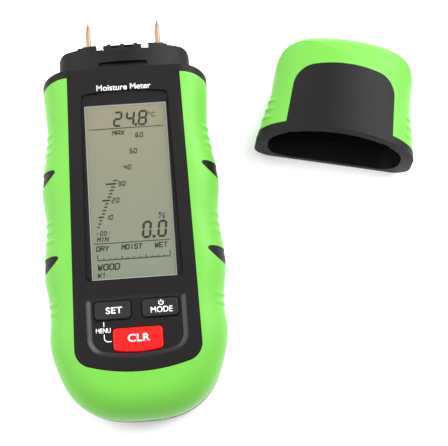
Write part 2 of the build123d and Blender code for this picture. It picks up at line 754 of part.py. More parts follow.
def cap_crown(inset):
    """Bar whose front is half an ellipse as wide as the cap at each depth."""
    sections = []
    for half, depth in CAP_CROWN:
        section = cap_section(half - inset, BODY_THICK - PARTING_Z - inset)
        sections.append(Pos(0, SHOULDER_Y + depth, PARTING_Z) * section)
    return loft(sections)


def cap_envelope(inset=0.0):
    """Rounded outer shape of the cap on the meter, open towards the body."""
    points = [(half, SHOULDER_Y + depth) for half, depth in CAP_CURVE]
    face = outline_face(points, 1, inset)
    solid = Pos(0, 0, inset) * extrude(face, BODY_THICK - 2 * inset)
    solid = round_outline(solid, BODY_THICK - inset, CAP_EDGE_ROUND - inset)
    solid = round_outline(solid, inset, CAP_BACK_ROUND - inset)
    return solid & cap_crown(inset) & past_shoulder()


def cap_panel_face(grow=0.0):
    """Outline of the cap's dark front panel."""
    foot, top = (half + grow for half in CAP_PANEL_HALF)
    side_y, arch_y = (SHOULDER_Y + depth + grow for depth in CAP_PANEL_Y)
    low_y = SHOULDER_Y - 8
    arch = ThreePointArc((top, side_y), (0, arch_y), (-top, side_y))
    lines = Polyline((-top, side_y), (-foot, low_y), (foot, low_y), (top, side_y))
    face = make_face([arch, *lines.edges()])
    return fillet([v for v in face.vertices() if v.Y > side_y - 1], CAP_PANEL_CORNER + grow)


def cap_hollow():
    """Room for the head and, deeper in, for the pins."""
    mouth = head_envelope(-CAP_HEAD_GAP, HEAD_ROOT_Y)
    limit = SHOULDER_Y + CAP_MOUTH_DEPTH
    mouth &= block((-BEYOND, BEYOND), (0, limit), (-1, BEYOND))
    deep_y = (SHOULDER_Y, SHOULDER_Y + CAP_DEPTH)
    deep = block((-CAP_DEEP_HALF, CAP_DEEP_HALF), deep_y, CAP_DEEP_Z)
    deep = fillet(deep.edges().filter_by(Axis.Y), 4.0)
    return mouth + deep


def cap_ribs():
    """Snap ribs on the inside of the cap's front and back walls."""
    long, wide, proud = CAP_RIB
    bar = block((-long / 2, long / 2), (LATCH_SLOT_Y - wide / 2, LATCH_SLOT_Y + wide / 2), (0, 1.0))
    front = Pos(0, 0, HEAD_FRONT_Z + CAP_HEAD_GAP - proud) * bar
    back = Pos(0, 0, HEAD_BACK_Z - CAP_HEAD_GAP + proud - 1.0) * bar
    return front + back


def cap_shell():
    """Charcoal shell of the cap: front panel, rim and inner walls."""
    outer = cap_envelope()
    core = cap_envelope(GRIP_THICK)
    panel = outer & extrude(cap_panel_face(), BODY_THICK, both=True)
    panel &= block((-BEYOND, BEYOND), (0, 4 * BEYOND), (PARTING_Z, BEYOND))
    back = outer & extrude(cap_panel_face(), PARTING_Z)
    rim = outer - past_shoulder(SHOULDER_BAND)
    return core + panel + back + rim - cap_hollow() + cap_ribs()


def cap_grip():
    """Green soft grip around the cap's sides and closed end."""
    grip = cap_envelope() - cap_envelope(GRIP_THICK)
    grip -= extrude(cap_panel_face(SEAM), BODY_THICK)
    return grip & past_shoulder(SHOULDER_BAND + SEAM)


def beside_meter(shape):
    """Take the cap off the head and lay it beside the meter."""
    return Pos(CAP_PLACE[0], CAP_PLACE[1], 0) * Rot(0, 0, CAP_TURN) * Pos(0, -SHOULDER_Y, 0) * shape


# ---------------------------------------------------------------- export
export("front_case", front_case())
export("front_grip", front_grip())
export("rear_case", rear_case())
export("battery_door", battery_door())
for side, name in ((-1, "left"), (1, "right")):
    export(f"pin_socket_{name}", Pos(side * PIN_X, 0, PARTING_Z) * pin_socket())
    export(f"electrode_pin_{name}", Pos(side * PIN_X, 0, PARTING_Z) * electrode_pin())
export("sensor_grille", sensor_grille())
export("sensor_board", sensor_board())
export("air_sensor", air_sensor())
export("electrode_leads", electrode_leads())
export("sensor_leads", sensor_leads())
export("display_window", display_window())
export("display_glass", display_glass())
export("display_holder", display_holder())
export("contact_strips", contact_strips())
for node, (outline, x, y) in KEYS.items():
    export(node, Pos(x, y, 0) * key_cap(outline))
export("keypad_mat", keypad_mat())
export("main_board", main_board())
export("processor", processor())
export("measuring_chips", measuring_chips())
export("board_crystal", board_crystal())
export("board_capacitors", board_capacitors())
export("small_board_parts", small_board_parts())
export("board_screws", board_screws())
export("battery", battery())
export("battery_snap", battery_snap())
export("battery_leads", battery_leads())
export("case_screws", case_screws())
export("cap_shell", beside_meter(cap_shell()))
export("cap_grip", beside_meter(cap_grip()))
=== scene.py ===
"""Looks for the pin moisture meter: studio, materials and printed detail around the CAD frame.

Lengths are millimetres in the shared frame until a mesh is made, which is in metres. The floor and the
lamps are given in metres, and angles in degrees.
"""

import json
from math import cos, pi, radians, sin

import bmesh
import bpy
from mathutils import Matrix, Vector


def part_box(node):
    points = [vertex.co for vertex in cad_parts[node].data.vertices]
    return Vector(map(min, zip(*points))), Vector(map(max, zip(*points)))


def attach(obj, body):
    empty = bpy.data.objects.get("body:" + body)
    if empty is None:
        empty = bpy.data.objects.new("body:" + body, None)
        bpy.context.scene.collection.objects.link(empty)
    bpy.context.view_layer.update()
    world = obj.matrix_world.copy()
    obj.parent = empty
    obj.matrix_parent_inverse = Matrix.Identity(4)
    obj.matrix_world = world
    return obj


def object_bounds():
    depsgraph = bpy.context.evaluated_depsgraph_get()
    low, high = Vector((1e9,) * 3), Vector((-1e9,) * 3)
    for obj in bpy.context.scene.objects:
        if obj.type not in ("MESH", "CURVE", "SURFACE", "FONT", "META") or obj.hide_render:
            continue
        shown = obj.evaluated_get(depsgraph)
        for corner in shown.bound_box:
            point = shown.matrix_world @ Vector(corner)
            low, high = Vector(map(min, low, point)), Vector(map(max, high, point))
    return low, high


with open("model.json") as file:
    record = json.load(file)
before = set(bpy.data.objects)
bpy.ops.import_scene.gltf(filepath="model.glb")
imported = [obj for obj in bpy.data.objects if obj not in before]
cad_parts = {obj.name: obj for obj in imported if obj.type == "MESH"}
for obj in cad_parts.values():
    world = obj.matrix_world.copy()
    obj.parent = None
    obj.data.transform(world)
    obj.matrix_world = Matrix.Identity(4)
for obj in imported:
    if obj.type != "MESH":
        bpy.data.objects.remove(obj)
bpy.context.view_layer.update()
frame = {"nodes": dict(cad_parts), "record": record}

MM = 0.001
INK = 0.05  # thickness of printed ink
WELD = 0.0001

# ---------------------------------------------------------------- camera and studio
CAMERA_PLACE = Vector((18.7, -83.4, 357.5)) * MM
CAMERA_AZIMUTH = radians(-8.73)
CAMERA_ELEVATION = radians(76.23)
CAMERA_ROLL = radians(4.47)
CAMERA_LENS = 81.5
CAMERA_NEAR = 0.01
FLOOR_REACH = 3.0
FLOOR_GAP = 0.0001
FLOOR_COLOUR = (0.93, 0.93, 0.93, 1)
FLOOR_ROUGHNESS = 0.9
WORLD_STRENGTH = 0.8
LAMPS = [  # name, place, target, size and power in watts
    ("key_lamp", (0.45, 0.30, 0.45), (0, 0.03, 0), 0.6, 9),
    ("fill_lamp", (-0.5, 0.15, 0.5), (0, 0, 0), 0.8, 7),
]


def make_camera():
    """Camera above the bottom end of the meter, looking down at it."""
    level = cos(CAMERA_ELEVATION)
    back = Vector((sin(CAMERA_AZIMUTH) * level, -cos(CAMERA_AZIMUTH) * level, sin(CAMERA_ELEVATION)))
    right = (-back).cross(Vector((0, 0, 1))).normalized()
    up = back.cross(right)
    rolled_right = right * cos(CAMERA_ROLL) + up * sin(CAMERA_ROLL)
    rolled_up = up * cos(CAMERA_ROLL) - right * sin(CAMERA_ROLL)
    turn = Matrix((rolled_right, rolled_up, back)).transposed()
    data = bpy.data.cameras.new("camera")
    data.lens = CAMERA_LENS
    data.clip_start = CAMERA_NEAR
    camera = bpy.data.objects.new("camera", data)
    camera.matrix_world = Matrix.Translation(CAMERA_PLACE) @ turn.to_4x4()
    bpy.context.scene.collection.objects.link(camera)
    bpy.context.scene.camera = camera


def add_area_light(name, place, target, size, power):
    """Soft square lamp that points at a target."""
    data = bpy.data.lights.new(name, "AREA")
    data.shape = "SQUARE"
    data.size = size
    data.energy = power
    lamp = bpy.data.objects.new(name, data)
    lamp.location = place
    lamp.rotation_euler = (Vector(target) - Vector(place)).to_track_quat("-Z", "Y").to_euler()
    bpy.context.scene.collection.objects.link(lamp)


def make_studio():
    """Pale floor, even surrounding light and two large soft lamps."""
    mesh = bpy.data.meshes.new("floor")
    reach = FLOOR_REACH
    corners = [(-reach, -reach, 0), (reach, -reach, 0), (reach, reach, 0), (-reach, reach, 0)]
    mesh.from_pydata(corners, [], [(0, 1, 2, 3)])
    floor = bpy.data.objects.new("floor", mesh)
    floor.location.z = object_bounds()[0].z - FLOOR_GAP
    material = bpy.data.materials.new("floor_paper")
    material.use_nodes = True
    shader = material.node_tree.nodes["Principled BSDF"]
    shader.inputs["Base Color"].default_value = FLOOR_COLOUR
    shader.inputs["Roughness"].default_value = FLOOR_ROUGHNESS
    mesh.materials.append(material)
    bpy.context.scene.collection.objects.link(floor)
    world = bpy.data.worlds.new("world")
    world.use_nodes = True
    world.node_tree.nodes["Background"].inputs["Color"].default_value = (1, 1, 1, 1)
    world.node_tree.nodes["Background"].inputs["Strength"].default_value = WORLD_STRENGTH
    bpy.context.scene.world = world
    for lamp in LAMPS:
        add_area_light(*lamp)
    bpy.context.scene.view_settings.view_transform = "Standard"


# ---------------------------------------------------------------- materials
METAL_GLOSS = 0.5
COAT_ROUGHNESS = 0.2
FINE_DETAIL = 3.0
BROAD_SCALE = 60.0
BROAD_DETAIL = 4.0
NOISE_RANGE = (0.3, 0.7)
BUMP_STRENGTH = 0.6
WINDOW_ALPHA = 0.1
GRIP_SHEEN = (0.15, 0.4)  # weight and roughness
DISPLAY_LOW_COLOUR = (0.180, 0.206, 0.148)
DISPLAY_HIGH_COLOUR = (0.222, 0.212, 0.140)


def surface(
    name, colour, roughness, grain, relief, mottle=0.06, metallic=0.0, coat=0.0, spread=0.08, gloss=0.25
):
    """Moulded or metal surface: grain per metre and relief in metres set its fine texture."""
    material = bpy.data.materials.new(name)
    material.use_nodes = True
    nodes, links = material.node_tree.nodes, material.node_tree.links
    shader = nodes["Principled BSDF"]
    shader.inputs["Metallic"].default_value = metallic
    shader.inputs["Specular IOR Level"].default_value = METAL_GLOSS if metallic else gloss
    shader.inputs["Coat Weight"].default_value = coat
    shader.inputs["Coat Roughness"].default_value = COAT_ROUGHNESS
    place = nodes.new("ShaderNodeTexCoord")
    fine = nodes.new("ShaderNodeTexNoise")
    fine.inputs["Scale"].default_value = grain
    fine.inputs["Detail"].default_value = FINE_DETAIL
    links.new(place.outputs["Object"], fine.inputs["Vector"])
    broad = nodes.new("ShaderNodeTexNoise")
    broad.inputs["Scale"].default_value = BROAD_SCALE
    broad.inputs["Detail"].default_value = BROAD_DETAIL
    links.new(place.outputs["Object"], broad.inputs["Vector"])
    tint = nodes.new("ShaderNodeMix")
    tint.data_type = "RGBA"
    tint.inputs[6].default_value = (*[c * (1 - mottle) for c in colour], 1)
    tint.inputs[7].default_value = (*[min(c * (1 + mottle), 1) for c in colour], 1)
    links.new(broad.outputs["Fac"], tint.inputs[0])
    links.new(tint.outputs[2], shader.inputs["Base Color"])
    rough = nodes.new("ShaderNodeMapRange")
    rough.inputs["From Min"].default_value = NOISE_RANGE[0]
    rough.inputs["From Max"].default_value = NOISE_RANGE[1]
    rough.inputs["To Min"].default_value = max(roughness - spread, 0.02)
    rough.inputs["To Max"].default_value = min(roughness + spread, 1.0)
    links.new(fine.outputs["Fac"], rough.inputs["Value"])
    links.new(rough.outputs["Result"], shader.inputs["Roughness"])
    bump = nodes.new("ShaderNodeBump")
    bump.inputs["Strength"].default_value = BUMP_STRENGTH
    bump.inputs["Distance"].default_value = relief
    links.new(fine.outputs["Fac"], bump.inputs["Height"])
    links.new(bump.outputs["Normal"], shader.inputs["Normal"])
    return material


def grip_rubber():
    """Bright green soft rubber with a satin skin."""
    material = surface("grip_rubber", (0.100, 0.345, 0.033), 0.45, 2600.0, 0.00002, mottle=0.03)
    shader = material.node_tree.nodes["Principled BSDF"]
    shader.inputs["Sheen Weight"].default_value = GRIP_SHEEN[0]
    shader.inputs["Sheen Roughness"].default_value = GRIP_SHEEN[1]
    return material


def window_clear():
    """Clear hard-coated plastic that lets the display show through."""
    material = surface("window_clear", (0.03, 0.03, 0.03), 0.08, 900.0, 0.000001, spread=0.03)
    material.node_tree.nodes["Principled BSDF"].inputs["Alpha"].default_value = WINDOW_ALPHA
    return material


def display_grey():
    """Greenish grey of a reflective liquid crystal display, warmer towards its top."""
    material = surface("display_glass", DISPLAY_LOW_COLOUR, 0.3, 4000.0, 0.000002, mottle=0.02)
    nodes, links = material.node_tree.nodes, material.node_tree.links
    place = nodes.new("ShaderNodeTexCoord")
    split = nodes.new("ShaderNodeSeparateXYZ")
    links.new(place.outputs["Generated"], split.inputs[0])
    tint = nodes.new("ShaderNodeMix")
    tint.data_type = "RGBA"
    tint.inputs[6].default_value = (*DISPLAY_LOW_COLOUR, 1)
    tint.inputs[7].default_value = (*DISPLAY_HIGH_COLOUR, 1)
    links.new(split.outputs["Y"], tint.inputs[0])
    links.new(tint.outputs[2], nodes["Principled BSDF"].inputs["Base Color"])
    return material


MATERIALS = {
    "case_plastic": surface("case_plastic", (0.0050, 0.0042, 0.0041), 0.45, 2200.0, 0.00006, gloss=0.12),
    "grille_plastic": surface("grille_plastic", (0.006, 0.006, 0.006), 0.5, 2200.0, 0.00004, gloss=0.15),
    # dark case plastic whose bluish, slightly lighter base colour is painted sheen on the keypad recess
    # wall
    "sheen_tinted_dish_plastic": surface("sheen_tinted_dish_plastic", (0.0060, 0.0072, 0.0090), 0.35, 2200.0, 0.00004, gloss=0.3),
    "grip_rubber": grip_rubber(),
    "window_clear": window_clear(),
    "display_glass": display_grey(),
    "holder_plastic": surface("holder_plastic", (0.5, 0.5, 0.47), 0.5, 2000.0, 0.00001),
    "contact_rubber": surface("contact_rubber", (0.35, 0.25, 0.25), 0.7, 3000.0, 0.00001),
    "key_dark": surface("key_dark", (0.009, 0.008, 0.009), 0.45, 2600.0, 0.00003, gloss=0.2),
    "key_red": surface("key_red", (0.60, 0.003, 0.003), 0.4, 2600.0, 0.00002, mottle=0.03, gloss=0.18),
    "mat_rubber": surface("mat_rubber", (0.3, 0.3, 0.3), 0.6, 2000.0, 0.00001),
    "socket_brass": surface("socket_brass", (0.72, 0.50, 0.22), 0.28, 1500.0, 0.00001, metallic=1.0),
    "pin_metal": surface(
        "pin_metal", (0.24, 0.165, 0.115), 0.45, 1800.0, 0.00001, mottle=0.08, metallic=0.75
    ),
    "board_laminate": surface("board_laminate", (0.01, 0.12, 0.03), 0.35, 1200.0, 0.00001, coat=0.4),
    "chip_plastic": surface("chip_plastic", (0.012, 0.012, 0.012), 0.45, 3000.0, 0.00002),
    "can_metal": surface("can_metal", (0.72, 0.72, 0.70), 0.25, 2000.0, 0.00001, metallic=1.0),
    "capacitor_sleeve": surface("capacitor_sleeve", (0.02, 0.03, 0.10), 0.3, 2000.0, 0.00001),
    "screw_metal": surface("screw_metal", (0.10, 0.10, 0.10), 0.35, 2000.0, 0.00001, metallic=1.0),
    "battery_jacket": surface("battery_jacket", (0.05, 0.07, 0.10), 0.3, 2000.0, 0.00001, metallic=0.6),
    "snap_plastic": surface("snap_plastic", (0.012, 0.012, 0.012), 0.5, 2000.0, 0.00002),
    "lead_sleeve": surface("lead_sleeve", (0.30, 0.02, 0.02), 0.45, 2000.0, 0.00001),
    "white_ink": surface("white_ink", (0.78, 0.78, 0.78), 0.5, 4000.0, 0.000005, mottle=0.03),
    # painted highlight: light grey for the light caught on the window's raised edge round the display
    "painted_edge_highlight": surface("painted_edge_highlight", (0.42, 0.46, 0.44), 0.2, 3000.0, 0.000005, mottle=0.15),
    "segment_ink": surface("segment_ink", (0.018, 0.015, 0.010), 0.45, 4000.0, 0.000002, mottle=0.05),
}


def paint_nodes():
    """Give every CAD node the finish of its material slot."""
    for part in frame["record"]["subparts"]:
        node = frame["nodes"][part["node"]]
        node.data.materials.clear()
        node.data.materials.append(MATERIALS[part["material_slot"]])


# ---------------------------------------------------------------- printed shapes
def outline_face(flat, outline):
    """Add one flat face with this outline to a drawing."""
    flat.faces.new([flat.verts.new((x, y, 0)) for x, y in outline])


def bar(flat, x_range, y_range):
    """Add an upright rectangle to a drawing."""
    (left, right), (low, high) = x_range, y_range
    outline_face(flat, [(left, low), (right, low), (right, high), (left, high)])


def stroke(flat, points, width):
    """Add a line of constant width through these points to a drawing."""
    places = [Vector(p) for p in points]
    edges = []
    for index, place in enumerate(places):
        before = places[max(index - 1, 0)]
        after = places[min(index + 1, len(places) - 1)]
        along = (after - before).normalized()
        across = Vector((-along.y, along.x)) * width / 2
        edges.append((flat.verts.new((*(place + across), 0)), flat.verts.new((*(place - across), 0))))
    for (a, b), (c, d) in zip(edges, edges[1:]):
        flat.faces.new([a, b, d, c])


def arc_points(centre, radius, start, end, steps):
    """Points along an arc, with its angles in degrees."""
    angles = [radians(start + (end - start) * step / steps) for step in range(steps + 1)]
    return [(centre[0] + radius * cos(a), centre[1] + radius * sin(a)) for a in angles]


def words(flat, text, centre, size, weight):
    """Add lettering to a drawing, fitted to a width and height about its centre."""
    curve = bpy.data.curves.new("lettering", "FONT")
    curve.body = text
    curve.resolution_u = 4
    curve.offset = weight
    holder = bpy.data.objects.new("lettering", curve)
    bpy.context.scene.collection.objects.link(holder)
    bpy.context.view_layer.update()
    shape = holder.evaluated_get(bpy.context.evaluated_depsgraph_get())
    mesh = bpy.data.meshes.new_from_object(shape)
    bpy.data.objects.remove(holder)
    bpy.data.curves.remove(curve)
    low = Vector([min(v.co[axis] for v in mesh.vertices) for axis in (0, 1, 2)])
    high = Vector([max(v.co[axis] for v in mesh.vertices) for axis in (0, 1, 2)])
    middle = (low + high) / 2
    for vertex in mesh.vertices:
        x = (vertex.co.x - middle.x) / (high.x - low.x) * size[0]
        y = (vertex.co.y - middle.y) / (high.y - low.y) * size[1]
        vertex.co = (x + centre[0], y + centre[1], 0)
    flat.from_mesh(mesh)
    bpy.data.meshes.remove(mesh)


LETTER_STROKES = {  # each run of a letter's strokes, as steps across and up its grid
    "A": ["00 04 16 36 44 40", "02 42"],
    "C": ["45 36 16 05 01 10 30 41"],
    "D": ["00 06 36 44 42 30 00"],
    "E": ["46 06 00 40", "03 33"],
    "I": ["20 26"],
    "M": ["00 06 23 46 40"],
    "N": ["00 06 40 46"],
    "O": ["10 01 05 16 36 45 41 30 10"],
    "R": ["00 06 36 45 43 33 03", "23 40"],
    "S": ["01 10 30 41 42 33 13 04 05 16 36 45"],
    "T": ["06 46", "26 20"],
    "W": ["06 10 24 30 46"],
    "X": ["00 46", "06 40"],
    "Y": ["06 23 46", "23 20"],
    "1": ["15 26 20"],
    "%": ["00 46", "04 06 16 14 04", "30 32 42 40 30"],
}
LETTER_GRID = (4, 6)
LETTER_LEAN = 0.15
LETTER_SHARE = 0.72  # of the pitch from one letter to the next
STROKE_OVERRUN = 0.35
FIGURE_LEAN = 0.12
BAR_GAP = 0.06
POINT_HALF = 0.6


def stroke_words(flat, text, centre, size, thick):
    """Add display lettering drawn from straight strokes, fitted to a width and height."""
    pitch = (size[0] - thick) / (len(text) - 1 + LETTER_SHARE)
    wide = pitch * LETTER_SHARE
    tall = size[1] - thick
    for index, letter in enumerate(text):
        left = centre[0] - (size[0] - thick) / 2 + index * pitch
        for run in LETTER_STROKES[letter]:
            places = []
            for spot in run.split():
                up = (int(spot[1]) / LETTER_GRID[1] - 0.5) * tall
                across = int(spot[0]) / LETTER_GRID[0] * wide
                places.append(Vector((left + across + LETTER_LEAN * up, centre[1] + up)))
            for start, end in zip(places, places[1:]):
                along = (end - start).normalized() * thick * STROKE_OVERRUN
                stroke(flat, [start - along, end + along], thick)


DIGIT_BARS = {  # lettered clockwise from the top bar, with g in the middle
    "0": "abcdef",
    "1": "bc",
    "2": "abged",
    "3": "abgcd",
    "4": "fgbc",
    "5": "afgcd",
    "6": "afgedc",
    "8": "abcdefg",
    "-": "g",
}


def digit(flat, figure, centre, size, thick):
    """Add one seven-bar figure to a drawing."""
    half, tall = size[0] / 2 - thick / 2, size[1] / 2 - thick / 2
    gap = thick * BAR_GAP
    ends = {
        "a": ((-half, tall), (half, tall)),
        "g": ((-half, 0), (half, 0)),
        "d": ((-half, -tall), (half, -tall)),
        "f": ((-half, 0), (-half, tall)),
        "b": ((half, 0), (half, tall)),
        "e": ((-half, -tall), (-half, 0)),
        "c": ((half, -tall), (half, 0)),
    }
    for name in DIGIT_BARS[figure]:
        start, end = Vector(ends[name][0]), Vector(ends[name][1])
        along = (end - start).normalized()
        across = Vector((-along.y, along.x)) * thick / 2
        tip = along * thick / 2
        first, last = start + along * gap, end - along * gap
        below = [first + tip - across, last - tip - across]
        above = [last - tip + across, first + tip + across]
        hexagon = [first, *below, last, *above]
        outline_face(flat, [(centre[0] + p.x + FIGURE_LEAN * p.y, centre[1] + p.y) for p in hexagon])


def figures(flat, text, centre, size, thick, pitch):
    """Add a row of seven-bar figures; a point takes no place of its own."""
    places = [c for c in text if c != "."]
    x = centre[0] - pitch * (len(places) - 1) / 2
    for character in text:
        if character == ".":
            spot = x - pitch / 2 - FIGURE_LEAN * size[1] / 2
            low = centre[1] - size[1] / 2
            half = thick * POINT_HALF
            bar(flat, (spot - half, spot + half), (low, low + 2 * half))
        else:
            digit(flat, character, (x, centre[1]), size, thick)
            x += pitch


def printed(name, flat, height, body, ink):
    """Turn a drawing into thin raised ink whose underside is at a height, riding on a body."""
    bmesh.ops.remove_doubles(flat, verts=flat.verts, dist=WELD)
    grown = bmesh.ops.extrude_face_region(flat, geom=flat.faces[:], use_keep_orig=True)
    for item in grown["geom"]:
        if isinstance(item, bmesh.types.BMVert):
            item.co.z += INK
    bmesh.ops.recalc_face_normals(flat, faces=flat.faces)
    for vertex in flat.verts:
        vertex.co.z += height
    finished(name, flat, body, ink)


def finished(name, shape, body, finish):
    """Turn a shape in millimetres into a piece that rides on a body."""
    for vertex in shape.verts:
        vertex.co *= MM
    mesh = bpy.data.meshes.new(name)
    shape.to_mesh(mesh)
    shape.free()
    mesh.materials.append(MATERIALS[finish])
    piece = bpy.data.objects.new(name, mesh)
    bpy.context.scene.collection.objects.link(piece)
    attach(piece, body)
    return piece


# ---------------------------------------------------------------- display
DISPLAY_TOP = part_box("display_glass")[1].z / MM
DISPLAY_MIDDLE = (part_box("display_glass")[0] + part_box("display_glass")[1]) / 2 / MM
DISPLAY_PRINT = DISPLAY_TOP + 0.02
DISPLAY_OPENING = (28.4, 61.7)
EDGE_WIDE = 0.28
LIT_WIDE = 27.3
LIT_TALL = 60.5
RULE_ENDS = (0.03, 0.97)
RULE_HALF = 0.13
LABEL_WEIGHT = 0.17
DISPLAY_LABELS = [  # text, shares across and down the display, width and height
    ("MAX", 0.396, 0.161, 4.2, 1.7),
    ("MIN", 0.135, 0.779, 3.9, 1.7),
    ("DRY", 0.125, 0.832, 4.3, 1.9),
    ("MOIST", 0.485, 0.831, 7.0, 1.9),
    ("WET", 0.845, 0.831, 4.4, 1.9),
    ("WOOD", 0.19, 0.937, 7.6, 2.3),
    ("W1", 0.10, 0.981, 3.0, 1.7),
]
SCALE_NUMBERS = [("60", 0.181), ("50", 0.275), ("40", 0.369), ("30", 0.4635), ("20", 0.559), ("10", 0.655)]
NUMBER_ACROSS = 0.656
NUMBER_LEAN = 0.905
NUMBER_SIZE = (1.25, 1.9)
TICKS = 15
TICK_TOP = 0.443
TICK_PITCH = 0.019
TICK_ACROSS = 0.353
TICK_LEAN = 0.93
LONG_TICK = (0.133, 0.37)  # width and how fast it narrows downwards, as shares
SHORT_TICK = (0.056, 0.08)
LONG_TICK_HALF = 0.28
SHORT_TICK_HALF = 0.22
BRACKET_ENDS = (0.06, 0.95)
BRACKET_DOWN = 0.898
BRACKET_HALF = 0.16
BRACKET_STEPS = 12
BRACKET_TICK_HALF = 0.14
BRACKET_TICK_START = 0.1
BRACKET_END_TALL = 2.0
BRACKET_THIRD_TALL = 1.2
BRACKET_TALL = 0.7


def on_display(across, down):
    """Place on the display from shares of its width and height, measured from its top left."""
    x = DISPLAY_MIDDLE.x + (across - 0.5) * LIT_WIDE
    return (x, DISPLAY_MIDDLE.y + LIT_TALL * (0.5 - down))


def display_rule(flat, down, ends, half):
    """Level line across the display, and where its left end, right end and middle height are."""
    left, y = on_display(ends[0], down)
    right, _ = on_display(ends[1], down)
    bar(flat, (left, right), (y - half, y + half))
    return left, right, y


def display_figures():
    """Temperature at the top and the moisture reading below it."""
    flat = bmesh.new()
    figures(flat, "24.8", on_display(0.555, 0.079), (3.1, 5.6), 0.72, 4.3)
    figures(flat, "0.0", on_display(0.778, 0.739), (3.2, 6.0), 0.82, 5.2)
    stroke(flat, arc_points(on_display(0.80, 0.052), 0.3, 0, 360, 16), 0.2)
    stroke_words(flat, "C", on_display(0.85, 0.062), (1.2, 1.7), 0.24)
    stroke_words(flat, "%", on_display(0.876, 0.662), (2.2, 2.2), 0.26)
    printed("display_figures", flat, DISPLAY_PRINT, "meter_body", "segment_ink")


def display_words():
    """Words and rules between the zones of the display."""
    flat = bmesh.new()
    for down in (0.134, 0.804):
        display_rule(flat, down, RULE_ENDS, RULE_HALF)
    for text, across, down, wide, tall in DISPLAY_LABELS:
        stroke_words(flat, text, on_display(across, down), (wide, tall), LABEL_WEIGHT * tall)
    printed("display_words", flat, DISPLAY_PRINT, "meter_body", "segment_ink")


def display_scale():
    """Slanted bar scale with its numbers, and the dry to wet bracket below."""
    flat = bmesh.new()
    for text, down in SCALE_NUMBERS:
        across = NUMBER_ACROSS - NUMBER_LEAN * (down - SCALE_NUMBERS[0][1])
        figures(flat, text, on_display(across, down), NUMBER_SIZE, 0.36, 1.5)
    figures(flat, "-00-", on_display(0.145, 0.745), (1.0, 1.8), 0.34, 1.3)
    for step in range(TICKS):
        drop = TICK_PITCH * step
        right = TICK_ACROSS - TICK_LEAN * drop
        if step % 5 == 1:
            wide = LONG_TICK[0] - LONG_TICK[1] * (drop - TICK_PITCH)
            half = LONG_TICK_HALF
        else:
            wide = SHORT_TICK[0] - SHORT_TICK[1] * drop
            half = SHORT_TICK_HALF
        display_rule(flat, TICK_TOP + drop, (right - wide, right), half)
    left, right, base = display_rule(flat, BRACKET_DOWN, BRACKET_ENDS, BRACKET_HALF)
    for step in range(BRACKET_STEPS + 1):
        x = left + (right - left) * step / BRACKET_STEPS
        if step in (0, BRACKET_STEPS):
            tall = BRACKET_END_TALL
        elif step % (BRACKET_STEPS // 3) == 0:
            tall = BRACKET_THIRD_TALL
        else:
            tall = BRACKET_TALL
        upright = (base + BRACKET_TICK_START, base + tall)
        bar(flat, (x - BRACKET_TICK_HALF, x + BRACKET_TICK_HALF), upright)
    printed("display_scale", flat, DISPLAY_PRINT, "meter_body", "segment_ink")


def display_edge_highlight():
    """Painted highlight: a light strip round the display where it meets its opening, standing in for light
    caught on the window's raised edge.
    """
    flat = bmesh.new()
    half, tall, wide = DISPLAY_OPENING[0] / 2, DISPLAY_OPENING[1] / 2, EDGE_WIDE
    middle = DISPLAY_MIDDLE.y
    bar(flat, (-half, -half + wide), (middle - tall, middle + tall))
    bar(flat, (half - wide, half), (middle - tall, middle + tall))
    bar(flat, (-half + wide, half - wide), (middle + tall - 1.5 * wide, middle + tall))
    bar(flat, (-half + wide, half - wide), (middle - tall, middle - tall + wide))
    printed("display_edge_highlight", flat, DISPLAY_PRINT, "meter_body", "painted_edge_highlight")


# ---------------------------------------------------------------- labels
PANEL_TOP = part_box("front_case")[1].z / MM
KEY_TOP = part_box("set_key")[1].z / MM
KEYPAD_FLOOR = PANEL_TOP - 1.0
PRINT_SINK = 0.01
POWER_MARK = (8.2, -28.3)
POWER_MARK_RADIUS = 0.76
POWER_MARK_STEM = ((8.06, 8.34), (-28.2, -27.3))
MENU_STEM = ((-11.15, -10.92), (-35.1, -33.4))
MENU_LINE = 0.24
MENU_BEND = (-9.85, -38.8)
MENU_BEND_RADIUS = 1.2
MENU_LINE_TOP = -37.6
MENU_LINE_END = -8.7


def key_labels():
    """Raised lettering on the three keys."""
    flat = bmesh.new()
    words(flat, "SET", (-7.4, -29.9), (5.5, 2.2), 0.014)
    printed("set_label", flat, KEY_TOP - PRINT_SINK, "set_key_body", "white_ink")
    flat = bmesh.new()
    words(flat, "MODE", (8.3, -30.6), (7.2, 2.0), 0.012)
    stroke(flat, arc_points(POWER_MARK, POWER_MARK_RADIUS, 130, 410, 20), 0.28)
    bar(flat, *POWER_MARK_STEM)
    printed("mode_label", flat, KEY_TOP - PRINT_SINK, "mode_key_body", "white_ink")
    flat = bmesh.new()
    words(flat, "CLR", (0.3, -39.4), (7.3, 2.6), 0.016)
    printed("clear_label", flat, KEY_TOP - PRINT_SINK, "clear_key_body", "white_ink")


def menu_label():
    """Word and bracket that join the SET and CLR keys."""
    flat = bmesh.new()
    words(flat, "MENU", (-11.3, -36.3), (4.8, 1.6), 0.008)
    bar(flat, *MENU_STEM)
    bend = arc_points(MENU_BEND, MENU_BEND_RADIUS, 180, 270, 8)
    top, end = (bend[0][0], MENU_LINE_TOP), (MENU_LINE_END, bend[-1][1])
    stroke(flat, [top, *bend, end], MENU_LINE)
    printed("menu_label", flat, KEYPAD_FLOOR - PRINT_SINK, "meter_body", "white_ink")


def panel_lettering():
    """Plain description of the instrument above the display."""
    flat = bmesh.new()
    words(flat, "Moisture Meter", (-0.1, 48.2), (18.8, 2.2), 0.007)
    printed("panel_lettering", flat, PANEL_TOP - PRINT_SINK, "meter_body", "white_ink")


